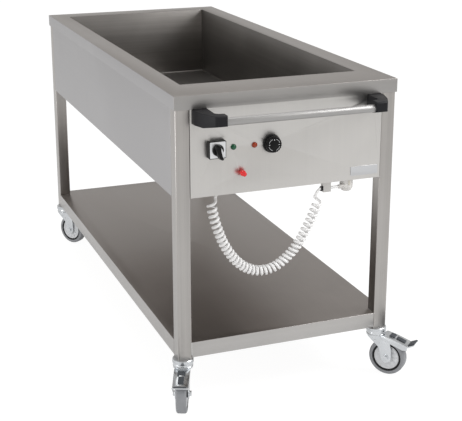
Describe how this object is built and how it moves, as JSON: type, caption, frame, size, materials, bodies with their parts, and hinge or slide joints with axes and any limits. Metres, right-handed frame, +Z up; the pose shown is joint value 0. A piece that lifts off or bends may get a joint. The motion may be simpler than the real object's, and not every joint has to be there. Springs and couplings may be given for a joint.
{
  "type": "heated well trolley",
  "caption": "Wheeled hot-food trolley with a long open water well in a flat worktop, corner legs on swivel casters, lower shelf, push bar and control panel",
  "frame": {"origin": "on the floor under the middle of the whole trolley's box, push bar and caster pedals included", "axes": "+X to the right as seen from the control end, +Y along the length away from the control end, +Z up"},
  "size_m": [0.7714, 1.6059, 0.89],
  "materials": {
    "brushed_steel_worktop": "lengthwise brushed stainless steel",
    "brushed_steel_sheet": "brushed stainless steel",
    "dull_steel_well": "dull rolled stainless steel",
    "heater_sheath": "dark annealed steel sheath",
    "satin_aluminium": "satin anodised",
    "zinc_plate": "bright zinc plate",
    "brass_valve": "plain brass",
    "nickel_pins": "bright nickel plate",
    "black_plastic": "fine matt moulding",
    "moulded_plastic": "plain moulding",
    "white_plastic": "smooth flexible sheath",
    "red_plastic": "glossy moulding",
    "grey_plastic": "light grey moulding",
    "green_lens": "clear green moulding",
    "amber_lens": "clear amber moulding",
    "black_rubber": "soft matt",
    "grey_tyre": "non-marking grey rubber"
  },
  "bodies": {
    "trolley_body": {"worktop_rim": "brushed_steel_worktop", "well_side_walls": "dull_steel_well", "well_end_walls": "dull_steel_well", "well_floor": "dull_steel_well", "left_side_panel": "brushed_steel_sheet", "right_side_panel": "brushed_steel_sheet", "rear_panel": "brushed_steel_sheet", "control_panel": "brushed_steel_sheet", "base_tray": "brushed_steel_sheet", "leg_front_left": "brushed_steel_sheet", "leg_front_right": "brushed_steel_sheet", "leg_rear_left": "brushed_steel_sheet", "leg_rear_right": "brushed_steel_sheet", "undershelf": "dull_steel_well", "heating_element": "heater_sheath", "thermostat_body": "moulded_plastic", "switch_base": "black_plastic", "switch_plate": "satin_aluminium", "switch_body": "black_plastic", "green_lamp": "green_lens", "amber_lamp": "amber_lens", "drain_valve": "brass_valve", "drain_pipes": "brushed_steel_sheet", "nameplate_blank": "satin_aluminium", "park_bracket": "brushed_steel_sheet", "park_grommet": "black_rubber", "cord_gland": "white_plastic", "curly_cord": "white_plastic", "cord_tail": "white_plastic", "plug_body": "white_plastic", "plug_pins": "nickel_pins", "handle_bracket_left": "black_plastic", "handle_bracket_right": "black_plastic", "push_bar": "brushed_steel_sheet", "handle_screws": "zinc_plate", "caster_front_left_head": "zinc_plate", "caster_front_right_head": "zinc_plate", "caster_rear_left_head": "zinc_plate", "caster_rear_right_head": "zinc_plate"},
    "main_switch_knob": {"switch_knob": "black_plastic"},
    "thermostat_dial": {"thermostat_knob": "black_plastic"},
    "drain_handle": {"drain_knob": "red_plastic"},
    "front_left_swivel": {"caster_front_left_fork": "zinc_plate", "caster_front_left_axle": "zinc_plate"},
    "front_left_roller": {"caster_front_left_wheel": "grey_plastic", "caster_front_left_tyre": "grey_tyre"},
    "front_left_brake": {"caster_front_left_pedal": "zinc_plate"},
    "front_right_swivel": {"caster_front_right_fork": "zinc_plate", "caster_front_right_axle": "zinc_plate"},
    "front_right_roller": {"caster_front_right_wheel": "grey_plastic", "caster_front_right_tyre": "grey_tyre"},
    "front_right_brake": {"caster_front_right_pedal": "zinc_plate"},
    "rear_left_swivel": {"caster_rear_left_fork": "zinc_plate", "caster_rear_left_axle": "zinc_plate"},
    "rear_left_roller": {"caster_rear_left_wheel": "grey_plastic", "caster_rear_left_tyre": "grey_tyre"},
    "rear_right_swivel": {"caster_rear_right_fork": "zinc_plate", "caster_rear_right_axle": "zinc_plate"},
    "rear_right_roller": {"caster_rear_right_wheel": "grey_plastic", "caster_rear_right_tyre": "grey_tyre"}
  },
  "joints": [
    {"name": "switch_turn", "type": "hinge", "parent": "trolley_body", "child": "main_switch_knob", "pos_m": [-0.22429, -0.69684, 0.74], "axis": [0, -1, 0], "range_deg": [0, 90]},
    {"name": "thermostat_turn", "type": "hinge", "parent": "trolley_body", "child": "thermostat_dial", "pos_m": [-0.06529, -0.69684, 0.74], "axis": [0, 1, 0], "range_deg": [0, 270]},
    {"name": "drain_turn", "type": "hinge", "parent": "trolley_body", "child": "drain_handle", "pos_m": [-0.15129, -0.69684, 0.668], "axis": [0, -1, 0], "range_deg": [0, 90]},
    {"name": "front_left_swivel_turn", "type": "hinge", "parent": "trolley_body", "child": "front_left_swivel", "pos_m": [-0.31679, -0.67684, 0.131], "axis": [0, 0, 1], "continuous": true},
    {"name": "front_left_roll", "type": "hinge", "parent": "front_left_swivel", "child": "front_left_roller", "pos_m": [-0.33242, -0.71366, 0.055], "axis": [0.9205, -0.3907, 0], "continuous": true},
    {"name": "front_left_brake_press", "type": "hinge", "parent": "front_left_swivel", "child": "front_left_brake", "pos_m": [-0.32695, -0.70077, 0.114], "axis": [0.9205, -0.3907, 0], "range_deg": [0, 8]},
    {"name": "front_right_swivel_turn", "type": "hinge", "parent": "trolley_body", "child": "front_right_swivel", "pos_m": [0.28621, -0.67684, 0.131], "axis": [0, 0, 1], "continuous": true},
    {"name": "front_right_roll", "type": "hinge", "parent": "front_right_swivel", "child": "front_right_roller", "pos_m": [0.31297, -0.70657, 0.055], "axis": [0.7431, 0.6691, 0], "continuous": true},
    {"name": "front_right_brake_press", "type": "hinge", "parent": "front_right_swivel", "child": "front_right_brake", "pos_m": [0.30361, -0.69616, 0.114], "axis": [0.7431, 0.6691, 0], "range_deg": [0, 8]},
    {"name": "rear_left_swivel_turn", "type": "hinge", "parent": "trolley_body", "child": "rear_left_swivel", "pos_m": [-0.31679, 0.77616, 0.131], "axis": [0, 0, 1], "continuous": true},
    {"name": "rear_left_roll", "type": "hinge", "parent": "rear_left_swivel", "child": "rear_left_roller", "pos_m": [-0.29385, 0.74339, 0.055], "axis": [0.8192, 0.5736, 0], "continuous": true},
    {"name": "rear_right_swivel_turn", "type": "hinge", "parent": "trolley_body", "child": "rear_right_swivel", "pos_m": [0.28621, 0.77616, 0.131], "axis": [0, 0, 1], "continuous": true},
    {"name": "rear_right_roll", "type": "hinge", "parent": "rear_right_swivel", "child": "rear_right_roller", "pos_m": [0.29989, 0.73857, 0.055], "axis": [0.9397, 0.342, 0], "continuous": true}
  ]
}
